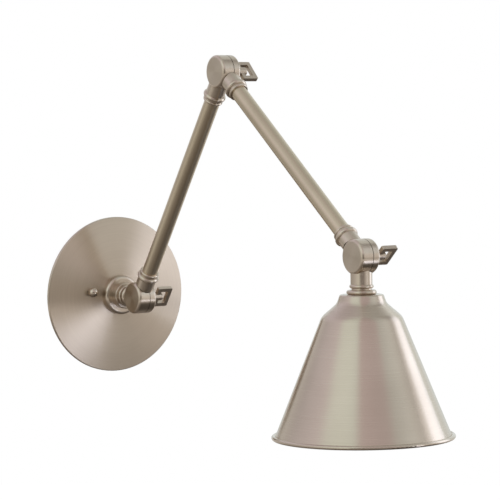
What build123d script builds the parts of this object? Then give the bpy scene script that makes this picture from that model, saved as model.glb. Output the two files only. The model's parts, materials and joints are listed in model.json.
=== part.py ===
from build123d import *
import os
from math import asin, atan2, cos, degrees, radians, sin, sqrt

# Articulating wall lamp: a round spun wall plate, two tube arms and a cone shade, joined by
# three knuckle joints, each clamped by a window key, and by a swivel at the wall.
# Millimetres and degrees. The wall is the plane Y = 0, the lamp stands out towards -Y, Z is up,
# and the origin is the centre of the wall plate's back. Every knuckle turns about X.

# --- Arms as they stand in the rest position ---
LOWER_ARM_REACH = 286.5      # pivot to pivot
UPPER_ARM_REACH = 286.5      # pivot to pivot
LOWER_ARM_RISE = 56.0        # angle of the lower arm above the horizontal
UPPER_ARM_DROP = 36.2        # angle of the upper arm below the horizontal
SHADE_LEAN = 1.6             # angle of the shade outwards from plumb

# --- Wall plate, a shallow spun dome with a turned-back lip ---
PLATE_RADIUS = 82.5
PLATE_LIP = 3.0              # height of the lip at the rim
PLATE_RISE = 6.9             # rise of the dome above the lip
PLATE_SHEET = 1.2            # sheet thickness
PLATE_EDGE_RADIUS = 1.0
PLATE_SEAT_RADIUS = 22.0     # flat in the middle, under the collar

# --- Wall crossbar and what holds the plate on it ---
CROSSBAR_LENGTH = 112.0
CROSSBAR_WIDTH = 24.0
CROSSBAR_SHEET = 2.0
CROSSBAR_CORNER = 4.0
BOX_SCREW_SPACING = 88.9     # junction box ears, 3 1/2 in
BOX_SLOT_LENGTH = 11.0
BOX_SLOT_WIDTH = 5.0
STUD_SPACING = 69.85         # plate studs, 2 3/4 in
STUD_LINE_TURN = 7.0         # angle of the studs' line from the crossbar's, left end up
STUD_RADIUS = 2.08           # 8-32 thread
STUD_HOLE_CLEARANCE = 0.5
STUD_NUT_FLATS = 8.7
STUD_NUT_HEIGHT = 3.2
BALL_RADIUS = 5.2
BALL_FOOT_RADIUS = 4.0
BALL_FOOT_HEIGHT = 0.8
BALL_HOLE_DEPTH = 5.5        # blind tapped hole, from the foot's face
BALL_HOLE_ROOM = 1.0         # left between the stud's tip and the hole's end
BALL_SINK = 0.8              # share of the ball's radius that stands out of its foot
GROUND_SCREW_OFFSET = 17.0   # along the crossbar
GROUND_SCREW_FLATS = 7.9
GROUND_SCREW_RADIUS = 2.0
GROUND_FLANGE_RADIUS = 4.9
GROUND_FLANGE_HEIGHT = 0.8
GROUND_HEAD_HEIGHT = 3.0

# --- Hollow nipples, M10 x 1 ---
NIPPLE_RADIUS = 5.0
NIPPLE_BORE_RADIUS = 3.8
NIPPLE_NUT_FLATS = 14.0
NIPPLE_NUT_HEIGHT = 3.0
NIPPLE_WASHER_RADIUS = 9.0
NIPPLE_WASHER_HEIGHT = 1.0
NIPPLE_TAIL = 2.0            # nipple standing past its nut
NIPPLE_END = 2.0             # nipple standing inside the lampholder's cap
BUSHING_FLANGE_RADIUS = 5.6
BUSHING_FLANGE_HEIGHT = 1.0
BUSHING_WALL = 0.7
BUSHING_DEPTH = 4.0

# --- Collar and swivel housing on the wall plate ---
COLLAR_RADIUS = 20.7
COLLAR_HEIGHT = 8.0
COLLAR_EDGE_RADIUS = 3.4
COLLAR_SPIGOT_HEIGHT = 2.4
HOUSING_RADIUS = 13.9
HOUSING_HEIGHT = 8.2
HOUSING_EDGE_RADIUS = 1.0
HOUSING_BEAD_RADIUS = 11.5
HOUSING_BEAD_HEIGHT = 3.0
HOUSING_CHAMBER_RADIUS = 10.5
HOUSING_CHAMBER_DEPTH = 7.2
SWIVEL_SPIGOT_RADIUS = 7.0
RETAINER_RADIUS = 9.6
RETAINER_HEIGHT = 3.0
RETAINER_STEP_RADIUS = 7.9   # turned down on its wall side, apart from the stop lug
RETAINER_STEP_HEIGHT = 1.6
STOP_LUG_WIDTH = 3.6
STOP_PIN_RADIUS = 0.8
STOP_PIN_SINK = 2.0          # length of the pin in the collar
WAVE_WASHER_HEIGHT = 0.6

# --- Knuckle joints: a cup half and a cap half, on one pivot axis ---
DRUM_RADIUS = 16.4
DRUM_LENGTH = 21.4
DRUM_EDGE_RADIUS = 3.0
CUP_LENGTH = 12.7            # length of the cup half along the pivot
FRICTION_WASHER = 0.6        # thickness, which is also the seam between the halves
SEAM_DEPTH = 0.9             # the washer stands this far inside the drum
CHAMBER_RADIUS = 12.4        # wire chamber inside both halves
DRUM_FACE_WALL = 2.4         # end walls of the drum
BOSS_RADIUS = 5.6
WIRE_BORE_RADIUS = 3.0
SLANT_BORE_RADIUS = 2.2      # from the cap's chamber to its stem's middle
SLANT_BORE_LENGTH = 14.0

# --- Stems from the knuckles to the tubes ---
NECK_RADIUS = 9.6
NECK_LENGTH = 26.0           # pivot to the near side of the bead
BEAD_RADIUS = 11.4
BEAD_LENGTH = 5.0
GROOVE_LENGTH = 1.4
GROOVE_RADIUS = 9.2
RING_RADIUS = 10.0
RING_LENGTH = 2.8
SPIGOT_LENGTH = 12.0         # inside the tube, past the ring
TUBE_RADIUS = 7.95           # 5/8 in
TUBE_WALL = 1.2

# --- Short stem from the first knuckle to the wall swivel ---
WALL_NECK_LENGTH = 18.1
WALL_BEAD_RADIUS = 10.9
WALL_BEAD_LENGTH = 4.0
WALL_GROOVE_LENGTH = 1.5

# --- Stem from the last knuckle to the shade ---
SHADE_NECK_RADIUS = 10.1
SHADE_NECK_LENGTH = 25.7
SHADE_BEAD_RADIUS = 11.2
SHADE_BEAD_LENGTH = 3.5
SHADE_GROOVE_LENGTH = 1.5
SHADE_GROOVE_RADIUS = 9.3
CHECK_RING_RADIUS = 14.0
CHECK_RING_LENGTH = 4.2
NIPPLE_ENGAGEMENT = 9.0      # nipple inside the stem

# --- Window keys ---
KEY_SCREW_RADIUS = 3.0       # M6
KEY_SCREW_ENGAGEMENT = 7.5   # inside the cup's boss
KEY_WASHER_RADIUS = 5.4
KEY_WASHER_HEIGHT = 0.8
KEY_HUB_RADIUS = 4.2
KEY_HUB_LENGTH = 6.8
KEY_WIDTH = 23.6             # across the pivot
KEY_LENGTH = 17.0            # along the pivot
KEY_THICKNESS = 4.0
KEY_BAR = 4.2
KEY_CORNER = 1.2
KEY_NUB_LENGTH = 4.0         # rounded end of the hub inside the window
WALL_KEY_TURN = 34.5
ELBOW_KEY_TURN = -46.0
SHADE_KEY_TURN = 46.7

# --- Shade: a spun cone with a flared cap and a rolled rim ---
SHADE_CAP_RADIUS = 20.2
SHADE_CAP_FOOT = (22.9, 8.0)       # radius, and depth below the shade's top
SHADE_SHOULDER = (37.1, 20.1)
SHADE_RIM_CONE = (82.0, 131.9)
SHADE_CAP_EDGE = 2.0
SHADE_FLARE_RADIUS = 10.0
SHADE_SHOULDER_RADIUS = 14.0
SHADE_SHEET = 0.9
SHADE_ROLL_RADIUS = 2.0            # the rolled rim's own radius

# --- Lampholder, E26 ---
LOCK_NUT_FLATS = 15.0
LOCK_NUT_HEIGHT = 3.0
HOLDER_CAP_RADIUS = 14.0
HOLDER_CAP_HEIGHT = 8.0
HOLDER_CAP_WALL = 1.4
HOLDER_RADIUS = 17.0
HOLDER_HEIGHT = 38.0
HOLDER_FLOOR = 6.0
HOLDER_EDGE_RADIUS = 1.5
SHELL_BORE_RADIUS = 13.2
SHELL_WALL = 0.5
SHELL_LENGTH = 25.0
SHELL_MOUTH = 2.5                  # the shell's mouth stands this far inside the body's
CONTACT_WIDTH = 5.0
CONTACT_LENGTH = 14.0
CONTACT_SHEET = 0.5
CONTACT_RISE = 2.5
TERMINAL_HEAD_RADIUS = 3.2
TERMINAL_HEAD_HEIGHT = 1.8
TERMINAL_SHANK_RADIUS = 1.6
TERMINAL_SHANK_LENGTH = 3.0
TERMINAL_DEPTH = 8.0               # below the body's top

# --- Clearances ---
FIT = 0.05                   # radial, between a thread or spigot and its hole
RUNNING = 0.3                # between faces that turn past each other
STEM_CLEARANCE = 0.5         # between a stem's root and the other half of its knuckle


# --- Heights off the wall, worked out from the sizes above ---
DOME_RADIUS = (PLATE_RADIUS ** 2 + PLATE_RISE ** 2) / (2 * PLATE_RISE)
DOME_CENTRE = PLATE_LIP + PLATE_RISE - DOME_RADIUS


def dome_height(radius, inset=0.0):
    """Height off the wall of the plate's dome at a radius, or of its inner side with an inset."""
    return DOME_CENTRE + sqrt((DOME_RADIUS - inset) ** 2 - radius ** 2)


SEAT_HEIGHT = dome_height(PLATE_SEAT_RADIUS)
COLLAR_TOP = SEAT_HEIGHT + COLLAR_HEIGHT
HOUSING_TOP = COLLAR_TOP + HOUSING_HEIGHT + HOUSING_BEAD_HEIGHT
WALL_STEM_LENGTH = WALL_NECK_LENGTH + WALL_BEAD_LENGTH + WALL_GROOVE_LENGTH
WALL_PIVOT_HEIGHT = HOUSING_TOP + RUNNING + WALL_STEM_LENGTH
WAVE_WASHER_START = COLLAR_TOP + HOUSING_CHAMBER_DEPTH - WAVE_WASHER_HEIGHT
RETAINER_START = WAVE_WASHER_START - RETAINER_HEIGHT

# --- Places along a stem, from its pivot ---
RING_START = NECK_LENGTH + BEAD_LENGTH + GROOVE_LENGTH
TUBE_START = RING_START + RING_LENGTH
SPIGOT_RADIUS = TUBE_RADIUS - TUBE_WALL - FIT
SHADE_STEM_LENGTH = SHADE_NECK_LENGTH + SHADE_BEAD_LENGTH + SHADE_GROOVE_LENGTH
SHADE_TOP = SHADE_STEM_LENGTH + CHECK_RING_LENGTH
LOCK_NUT_TOP = SHADE_TOP + SHADE_SHEET
HOLDER_CAP_TOP = LOCK_NUT_TOP + LOCK_NUT_HEIGHT
HOLDER_TOP = HOLDER_CAP_TOP + HOLDER_CAP_HEIGHT
HOLDER_END = HOLDER_TOP + HOLDER_HEIGHT
SHELL_END = HOLDER_END - SHELL_MOUTH
SHELL_START = SHELL_END - SHELL_LENGTH
CAVITY_START = HOLDER_TOP + HOLDER_FLOOR

# --- Places along a pivot axis, from its middle ---
CUP_FACE = -DRUM_LENGTH / 2
CAP_FACE = DRUM_LENGTH / 2
CUP_SEAM = CUP_FACE + CUP_LENGTH
CAP_SEAM = CUP_SEAM + FRICTION_WASHER
KEY_SEAT = CAP_FACE + KEY_WASHER_HEIGHT


def heading(rise):
    """Unit vector in the arm plane that rises by an angle above the outward horizontal."""
    return Vector(0, -cos(radians(rise)), sin(radians(rise)))


WALL_PIVOT = Vector(0, -WALL_PIVOT_HEIGHT, 0)
ELBOW_PIVOT = WALL_PIVOT + heading(LOWER_ARM_RISE) * LOWER_ARM_REACH
SHADE_PIVOT = ELBOW_PIVOT + heading(-UPPER_ARM_DROP) * UPPER_ARM_REACH


# --- Helpers ---
def turned(outline):
    """Solid of revolution about Z from a closed outline of (radius, height) points and edges."""
    return revolve(Plane.XZ * make_face(outline), axis=Axis.Z)


def ring(outer, inner, start, length):
    """Plain ring about Z."""
    return turned(Polyline((inner, start), (outer, start), (outer, start + length),
                           (inner, start + length), close=True))


def rod(radius, start, length):
    """Plain rod along Z."""
    return Pos(0, 0, start) * Cylinder(radius, length, align=(Align.CENTER, Align.CENTER, Align.MIN))


def x_rod(radius, start, end):
    """Plain rod along the pivot axis, from one place on it to another."""
    return Pos(start, 0, 0) * Rot(0, 90, 0) * Cylinder(
        radius, end - start, align=(Align.CENTER, Align.CENTER, Align.MIN))


def rounded_rod(radius, start, end, edge, rounded_end):
    """Rod along the pivot axis with one rounded end."""
    plain = x_rod(radius, start, end)
    far = plain.edges().filter_by(GeomType.CIRCLE).sort_by(Axis.X)[-1 if rounded_end > 0 else 0]
    return fillet(far, min(edge, 0.4 * (end - start), 0.4 * radius))


def hex_nut(flats, bore, start, height):
    """Hexagonal nut about Z, with its corners turned off on both faces."""
    side = Pos(0, 0, start) * extrude(RegularPolygon(flats / 2, 6, major_radius=False), height)
    turn_off = 0.12 * height
    corner = flats / 2 / cos(radians(30))
    blank = turned(Polyline((0, start), (corner - turn_off, start), (corner, start + turn_off),
                            (corner, start + height - turn_off),
                            (corner - turn_off, start + height), (0, start + height), close=True))
    return (side & blank) - rod(bore, start - 1, height + 2)


def offset_chain(points, distance):
    """The same chain of straight runs, moved sideways by a distance to the left of its direction."""
    lines = []
    for (x0, y0), (x1, y1) in zip(points, points[1:]):
        run = sqrt((x1 - x0) ** 2 + (y1 - y0) ** 2)
        nx, ny = -(y1 - y0) / run * distance, (x1 - x0) / run * distance
        lines.append(((x0 + nx, y0 + ny), (x1 + nx, y1 + ny)))
    moved = [lines[0][0]]
    for (a, b), (c, d) in zip(lines, lines[1:]):
        bx, by, dx, dy = b[0] - a[0], b[1] - a[1], d[0] - c[0], d[1] - c[1]
        share = ((c[0] - a[0]) * dy - (c[1] - a[1]) * dx) / (bx * dy - by * dx)
        moved.append((a[0] + share * bx, a[1] + share * by))
    return moved + [lines[-1][1]]


def pointed(shape, pivot, rise):
    """A shape made along +Z from a pivot at the origin, put on its pivot and pointed along a rise."""
    return Pos(*pivot) * Rot(90 - rise, 0, 0) * shape


def on_wall(shape):
    """A shape made along +Z from the wall, turned to stand out towards -Y."""
    return Rot(90, 0, 0) * shape


# --- Wall plate and crossbar ---
def stud_places():
    """The places of the two studs, on a line through the middle."""
    return [Rot(0, 0, -STUD_LINE_TURN) * Pos(side * STUD_SPACING / 2, 0) for side in (-1, 1)]


def back_plate():
    """Spun dome with a lip, a flat seat, a middle hole and two stud holes."""
    inner_radius = PLATE_RADIUS - PLATE_SHEET
    inner_dome = DOME_RADIUS - PLATE_SHEET
    middle = (PLATE_RADIUS + PLATE_SEAT_RADIUS) / 2
    rim_height = dome_height(PLATE_RADIUS)
    inner_rim_height = dome_height(inner_radius, PLATE_SHEET)
    seat_under = SEAT_HEIGHT - PLATE_SHEET
    seat_inner = inner_dome * sin(asin(PLATE_SEAT_RADIUS / DOME_RADIUS))
    hole = NIPPLE_RADIUS + RUNNING
    outline = [
        Line((hole, SEAT_HEIGHT), (PLATE_SEAT_RADIUS, SEAT_HEIGHT)),
        ThreePointArc((PLATE_SEAT_RADIUS, SEAT_HEIGHT), (middle, dome_height(middle)),
                      (PLATE_RADIUS, rim_height)),
        Line((PLATE_RADIUS, rim_height), (PLATE_RADIUS, 0)),
        Line((PLATE_RADIUS, 0), (inner_radius, 0)),
        Line((inner_radius, 0), (inner_radius, inner_rim_height)),
        ThreePointArc((inner_radius, inner_rim_height), (middle, dome_height(middle, PLATE_SHEET)),
                      (seat_inner, dome_height(seat_inner, PLATE_SHEET))),
        Line((seat_inner, dome_height(seat_inner, PLATE_SHEET)), (seat_inner - 1, seat_under)),
        Line((seat_inner - 1, seat_under), (hole, seat_under)),
        Line((hole, seat_under), (hole, SEAT_HEIGHT)),
    ]
    plate = turned(outline)
    rim = plate.edges().filter_by(GeomType.CIRCLE).filter_by(
        lambda e: abs(e.radius - PLATE_RADIUS) < 0.01).sort_by(Axis.Z)[-1]
    plate = fillet(rim, min(PLATE_EDGE_RADIUS, 0.8 * PLATE_SHEET, 0.8 * PLATE_LIP))
    for place in stud_places():
        plate -= place * rod(STUD_RADIUS + STUD_HOLE_CLEARANCE, 0, SEAT_HEIGHT + 1)
    return on_wall(plate)


def crossbar():
    """Flat strap with two slots for the box screws and tapped holes for the studs."""
    strap = extrude(RectangleRounded(CROSSBAR_LENGTH, CROSSBAR_WIDTH, CROSSBAR_CORNER), CROSSBAR_SHEET)
    strap -= rod(BUSHING_FLANGE_RADIUS + STUD_HOLE_CLEARANCE, -1, CROSSBAR_SHEET + 2)
    for side in (-1, 1):
        slot = Pos(side * BOX_SCREW_SPACING / 2, 0, -1) * extrude(
            SlotOverall(BOX_SLOT_LENGTH, BOX_SLOT_WIDTH), CROSSBAR_SHEET + 2)
        strap -= slot
    for place in stud_places():
        strap -= place * rod(STUD_RADIUS + FIT, -1, CROSSBAR_SHEET + 2)
    strap -= Pos(GROUND_SCREW_OFFSET, 0) * rod(GROUND_SCREW_RADIUS + FIT, -1, CROSSBAR_SHEET + 2)
    return on_wall(strap)


def ball_foot():
    """Height of the ball nuts' feet, which rest on the dome with their inner edge."""
    return dome_height(STUD_SPACING / 2 - BALL_FOOT_RADIUS)


def both_studs(shape):
    """One shape at each of the two stud places, on the wall."""
    return on_wall(Part() + [place * shape for place in stud_places()])


def canopy_studs():
    """The two screws that stand out of the crossbar and through the plate."""
    return both_studs(rod(STUD_RADIUS, 0, ball_foot() + BALL_HOLE_DEPTH - BALL_HOLE_ROOM))


def stud_nuts():
    """The two nuts that lock the studs on the crossbar."""
    return both_studs(hex_nut(STUD_NUT_FLATS, STUD_RADIUS + FIT, CROSSBAR_SHEET, STUD_NUT_HEIGHT))


def ball_nuts():
    """The two round cap nuts that hold the plate on its studs."""
    foot = ball_foot()
    nut = rod(BALL_FOOT_RADIUS, foot, BALL_FOOT_HEIGHT + BALL_SINK * BALL_RADIUS)
    nut += Pos(0, 0, foot + BALL_FOOT_HEIGHT + BALL_SINK * BALL_RADIUS) * Sphere(BALL_RADIUS)
    return both_studs(nut - rod(STUD_RADIUS + FIT, foot - 1, BALL_HOLE_DEPTH + 1))


def ground_screw():
    """Earth screw with a flanged hexagonal head, in the crossbar."""
    head = CROSSBAR_SHEET + GROUND_FLANGE_HEIGHT
    screw = rod(GROUND_SCREW_RADIUS, 0, head) + rod(GROUND_FLANGE_RADIUS, CROSSBAR_SHEET,
                                                    GROUND_FLANGE_HEIGHT)
    screw += Pos(0, 0, head) * extrude(
        RegularPolygon(GROUND_SCREW_FLATS / 2, 6, major_radius=False), GROUND_HEAD_HEIGHT)
    screw -= Pos(0, 0, head + 0.5 * GROUND_HEAD_HEIGHT) * Box(
        0.7 * GROUND_SCREW_FLATS, 1.0, GROUND_HEAD_HEIGHT,
        align=(Align.CENTER, Align.CENTER, Align.MIN))
    return on_wall(Pos(GROUND_SCREW_OFFSET, 0) * screw)


# --- Nipple through the plate, collar and swivel housing ---
def nipple_nut_start():
    """Height of the lower face of the nut behind the plate."""
    return SEAT_HEIGHT - PLATE_SHEET - NIPPLE_WASHER_HEIGHT - NIPPLE_NUT_HEIGHT


def wall_nipple():
    """Hollow threaded tube that clamps the plate between its nut and the collar."""
    start = nipple_nut_start() - NIPPLE_TAIL
    return on_wall(ring(NIPPLE_RADIUS, NIPPLE_BORE_RADIUS, start, COLLAR_TOP - start))


def nipple_nut():
    """Nut behind the plate."""
    return on_wall(hex_nut(NIPPLE_NUT_FLATS, NIPPLE_RADIUS + FIT, nipple_nut_start(), NIPPLE_NUT_HEIGHT))


def nipple_washer():
    """Flat washer between the plate and its nut."""
    return on_wall(ring(NIPPLE_WASHER_RADIUS, NIPPLE_RADIUS + FIT,
                        SEAT_HEIGHT - PLATE_SHEET - NIPPLE_WASHER_HEIGHT, NIPPLE_WASHER_HEIGHT))


def nipple_bushing():
    """Plastic bush that keeps the wires off the nipple's edge."""
    face = nipple_nut_start() - NIPPLE_TAIL
    bore = NIPPLE_BORE_RADIUS - FIT - BUSHING_WALL
    return on_wall(ring(BUSHING_FLANGE_RADIUS, bore, face - BUSHING_FLANGE_HEIGHT, BUSHING_FLANGE_HEIGHT)
                   + ring(NIPPLE_BORE_RADIUS - FIT, bore, face, BUSHING_DEPTH))


def swivel_stop_pin_place():
    """Where the stop pin stands: below the axis, just outside the retainer's step."""
    return Pos(0, -(RETAINER_STEP_RADIUS + STOP_PIN_RADIUS + RUNNING / 2))


def wall_collar():
    """Round collar on the plate, with a spigot that the swivel housing screws onto."""
    spigot = HOUSING_CHAMBER_RADIUS - FIT
    edge = min(COLLAR_EDGE_RADIUS, 0.6 * COLLAR_HEIGHT, 0.6 * (COLLAR_RADIUS - HOUSING_RADIUS))
    knee = edge * (1 - sqrt(0.5))
    outline = [
        Polyline((COLLAR_RADIUS - edge, COLLAR_TOP), (spigot, COLLAR_TOP),
                 (spigot, COLLAR_TOP + COLLAR_SPIGOT_HEIGHT),
                 (NIPPLE_RADIUS + FIT, COLLAR_TOP + COLLAR_SPIGOT_HEIGHT),
                 (NIPPLE_RADIUS + FIT, SEAT_HEIGHT), (COLLAR_RADIUS, SEAT_HEIGHT),
                 (COLLAR_RADIUS, COLLAR_TOP - edge)),
        ThreePointArc((COLLAR_RADIUS, COLLAR_TOP - edge), (COLLAR_RADIUS - knee, COLLAR_TOP - knee),
                      (COLLAR_RADIUS - edge, COLLAR_TOP)),
    ]
    pin = swivel_stop_pin_place() * rod(STOP_PIN_RADIUS + FIT, COLLAR_TOP + COLLAR_SPIGOT_HEIGHT
                                        - STOP_PIN_SINK, STOP_PIN_SINK + 1)
    return on_wall(turned(outline) - pin)


def swivel_housing():
    """Stepped housing with a bead, in which the first knuckle's spigot turns."""
    step = COLLAR_TOP + HOUSING_HEIGHT
    bore = SWIVEL_SPIGOT_RADIUS + FIT
    edge = min(HOUSING_EDGE_RADIUS, 0.4 * (HOUSING_RADIUS - HOUSING_BEAD_RADIUS), 0.4 * HOUSING_HEIGHT)
    knee = edge * (1 - sqrt(0.5))
    bead_foot = HOUSING_BEAD_RADIUS - HOUSING_BEAD_HEIGHT / 2
    outline = [
        Polyline((HOUSING_RADIUS - edge, step), (bead_foot, step)),
        ThreePointArc((bead_foot, step), (HOUSING_BEAD_RADIUS, step + HOUSING_BEAD_HEIGHT / 2),
                      (bead_foot, HOUSING_TOP)),
        Polyline((bead_foot, HOUSING_TOP), (bore, HOUSING_TOP),
                 (bore, COLLAR_TOP + HOUSING_CHAMBER_DEPTH),
                 (HOUSING_CHAMBER_RADIUS, COLLAR_TOP + HOUSING_CHAMBER_DEPTH),
                 (HOUSING_CHAMBER_RADIUS, COLLAR_TOP), (HOUSING_RADIUS, COLLAR_TOP),
                 (HOUSING_RADIUS, step - edge)),
        ThreePointArc((HOUSING_RADIUS, step - edge), (HOUSING_RADIUS - knee, step - knee),
                      (HOUSING_RADIUS - edge, step)),
    ]
    return on_wall(turned(outline))


def swivel_washer():
    """Spring washer that keeps the swivel stiff."""
    return on_wall(ring(RETAINER_RADIUS, SWIVEL_SPIGOT_RADIUS + FIT, WAVE_WASHER_START,
                        WAVE_WASHER_HEIGHT))


def swivel_retainer():
    """Round nut on the spigot's end, stepped on its wall side apart from one stop lug."""
    bore = SWIVEL_SPIGOT_RADIUS + FIT
    full = ring(RETAINER_RADIUS, bore, RETAINER_START + RETAINER_STEP_HEIGHT,
                RETAINER_HEIGHT - RETAINER_STEP_HEIGHT)
    step = ring(RETAINER_RADIUS, bore, RETAINER_START, RETAINER_STEP_HEIGHT)
    side = Pos(0, RETAINER_STEP_RADIUS, RETAINER_START) * Box(
        STOP_LUG_WIDTH, 2 * (RETAINER_RADIUS - RETAINER_STEP_RADIUS), RETAINER_STEP_HEIGHT,
        align=(Align.CENTER, Align.CENTER, Align.MIN))
    core = ring(RETAINER_STEP_RADIUS, bore, RETAINER_START, RETAINER_STEP_HEIGHT)
    return on_wall(full + core + (step & side))


def swivel_stop_pin():
    """Pin in the collar's face, below the axis, that the stop lug meets after most of a turn."""
    start = COLLAR_TOP + COLLAR_SPIGOT_HEIGHT - STOP_PIN_SINK
    end = RETAINER_START + RETAINER_STEP_HEIGHT - RUNNING
    return on_wall(swivel_stop_pin_place() * rod(STOP_PIN_RADIUS, start, end - start))


# --- Knuckle halves ---
def stem_outline(neck_radius, neck_length, bead_radius, bead_length, groove_radius, groove_length,
                 spigot_radius, spigot_length):
    """Turned outline of a stem, from the pivot axis out to the end of its spigot."""
    bead_end = neck_length + bead_length
    groove_end = bead_end + groove_length
    tail = [(neck_radius, bead_end), (groove_radius, bead_end), (groove_radius, groove_end)]
    if spigot_length > 0:
        tail += [(spigot_radius, groove_end), (spigot_radius, groove_end + spigot_length)]
    return [
        Polyline((0, 0), (neck_radius, 0), (neck_radius, neck_length)),
        ThreePointArc((neck_radius, neck_length), (bead_radius, neck_length + bead_length / 2),
                      (neck_radius, bead_end)),
        Polyline(*tail, (0, tail[-1][1]), (0, 0)),
    ]


def arm_stem():
    """Stem that carries a tube."""
    return turned(stem_outline(NECK_RADIUS, NECK_LENGTH, BEAD_RADIUS, BEAD_LENGTH,
                               GROOVE_RADIUS, GROOVE_LENGTH, SPIGOT_RADIUS,
                               RING_LENGTH + SPIGOT_LENGTH))


def wall_stem():
    """Stem that turns in the swivel housing."""
    return turned(stem_outline(NECK_RADIUS, WALL_NECK_LENGTH, WALL_BEAD_RADIUS, WALL_BEAD_LENGTH,
                               GROOVE_RADIUS, WALL_GROOVE_LENGTH, SWIVEL_SPIGOT_RADIUS,
                               HOUSING_TOP + RUNNING - RETAINER_START))


def shade_stem():
    """Stem that carries the shade on a nipple."""
    stem = turned(stem_outline(SHADE_NECK_RADIUS, SHADE_NECK_LENGTH, SHADE_BEAD_RADIUS,
                               SHADE_BEAD_LENGTH, SHADE_GROOVE_RADIUS, SHADE_GROOVE_LENGTH,
                               NIPPLE_RADIUS + FIT, 0))
    return stem - rod(NIPPLE_RADIUS + FIT, SHADE_STEM_LENGTH - NIPPLE_ENGAGEMENT,
                      NIPPLE_ENGAGEMENT + 1)


def wire_bore(start):
    """Hole for the wires along the middle of a stem."""
    return rod(WIRE_BORE_RADIUS, start, LOWER_ARM_REACH / 3)


def slanted_bore():
    """Hole for the wires from the cap's chamber, beside the pivot's middle, to its stem's middle."""
    beside = (CAP_SEAM + CAP_FACE - DRUM_FACE_WALL) / 2
    foot = CHAMBER_RADIUS - SLANT_BORE_RADIUS
    rise = DRUM_RADIUS + STEM_CLEARANCE + SLANT_BORE_LENGTH - foot
    slant = degrees(atan2(beside, rise))
    return Pos(beside, 0, foot) * Rot(0, -slant, 0) * rod(SLANT_BORE_RADIUS, 0, rise)


def other_half_room(start, end):
    """Room in a stem's root for the other half of the drum to turn."""
    return x_rod(DRUM_RADIUS + STEM_CLEARANCE, start, end)


def wire_chamber(start, end):
    """Space for the wires around the boss inside a half of the drum."""
    return x_rod(CHAMBER_RADIUS, start, end) - x_rod(BOSS_RADIUS, start - 1, end + 1)


def knuckle_cup(stem):
    """Thick half of a knuckle: closed face, wire chamber, tapped boss and its stem along +Z."""
    far = CAP_FACE + NECK_RADIUS + DRUM_RADIUS
    half = rounded_rod(DRUM_RADIUS, CUP_FACE, CUP_SEAM, DRUM_EDGE_RADIUS, -1)
    half += stem - other_half_room(CUP_SEAM, far)
    half -= wire_chamber(CUP_FACE + DRUM_FACE_WALL, CUP_SEAM + 1)
    half -= x_rod(KEY_SCREW_RADIUS + FIT, CUP_SEAM - KEY_SCREW_ENGAGEMENT - RUNNING, CUP_SEAM + 1)
    return half - wire_bore(CHAMBER_RADIUS - 1)


def knuckle_cap(stem):
    """Thin half of a knuckle: its boss lets the key's screw through, and its stem runs along +Z."""
    far = CUP_FACE - NECK_RADIUS - DRUM_RADIUS
    half = rounded_rod(DRUM_RADIUS, CAP_SEAM, CAP_FACE, DRUM_EDGE_RADIUS, 1)
    half += stem - other_half_room(far, CAP_SEAM)
    half -= wire_chamber(CAP_SEAM - 1, CAP_FACE - DRUM_FACE_WALL)
    half -= x_rod(KEY_SCREW_RADIUS + FIT, CAP_SEAM - 1, CAP_FACE + 1)
    return half - slanted_bore() - wire_bore(DRUM_RADIUS + STEM_CLEARANCE + SLANT_BORE_LENGTH / 2)


def friction_washer():
    """Fibre washer between the two halves of a knuckle."""
    return (x_rod(DRUM_RADIUS - SEAM_DEPTH, CUP_SEAM, CAP_SEAM)
            - x_rod(CHAMBER_RADIUS, CUP_SEAM - 1, CAP_SEAM + 1))


def end_ring():
    """Ring that closes the joint between a stem and its tube."""
    edge = 0.3 * RING_LENGTH
    bore = SPIGOT_RADIUS + FIT
    middle = RING_START + RING_LENGTH / 2
    return turned([
        Polyline((RING_RADIUS - edge, RING_START), (bore, RING_START), (bore, TUBE_START),
                 (RING_RADIUS - edge, TUBE_START)),
        ThreePointArc((RING_RADIUS - edge, TUBE_START), (RING_RADIUS, middle),
                      (RING_RADIUS - edge, RING_START)),
    ])


def arm_tube(reach):
    """Tube between the rings of an arm's two stems."""
    return ring(TUBE_RADIUS, TUBE_RADIUS - TUBE_WALL, TUBE_START, reach - 2 * TUBE_START)


# --- Window keys ---
def window_key(turn):
    """Clamping key: screw, hub, and a flat frame with a window that the hub's nub stands in."""
    hub_end = KEY_SEAT + KEY_HUB_LENGTH
    frame_outside = RectangleRounded(KEY_LENGTH, KEY_WIDTH, KEY_CORNER)
    window = RectangleRounded(KEY_LENGTH - 2 * KEY_BAR, KEY_WIDTH - 2 * KEY_BAR, KEY_CORNER / 2)
    flat = extrude(frame_outside - window, KEY_THICKNESS / 2, both=True)
    frame = Pos(hub_end + KEY_LENGTH / 2, 0, 0) * Rot(90, 0, 0) * flat
    nub = rounded_rod(KEY_HUB_RADIUS, KEY_SEAT, hub_end + KEY_BAR + KEY_NUB_LENGTH,
                      0.4 * KEY_HUB_RADIUS, 1)
    screw = x_rod(KEY_SCREW_RADIUS, CUP_SEAM - KEY_SCREW_ENGAGEMENT, KEY_SEAT + 1)
    return Rot(turn, 0, 0) * (frame + nub + screw)


def key_washer():
    """Washer under a key's hub."""
    return (x_rod(KEY_WASHER_RADIUS, CAP_FACE, KEY_SEAT)
            - x_rod(KEY_SCREW_RADIUS + FIT, CAP_FACE - 1, KEY_SEAT + 1))


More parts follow.
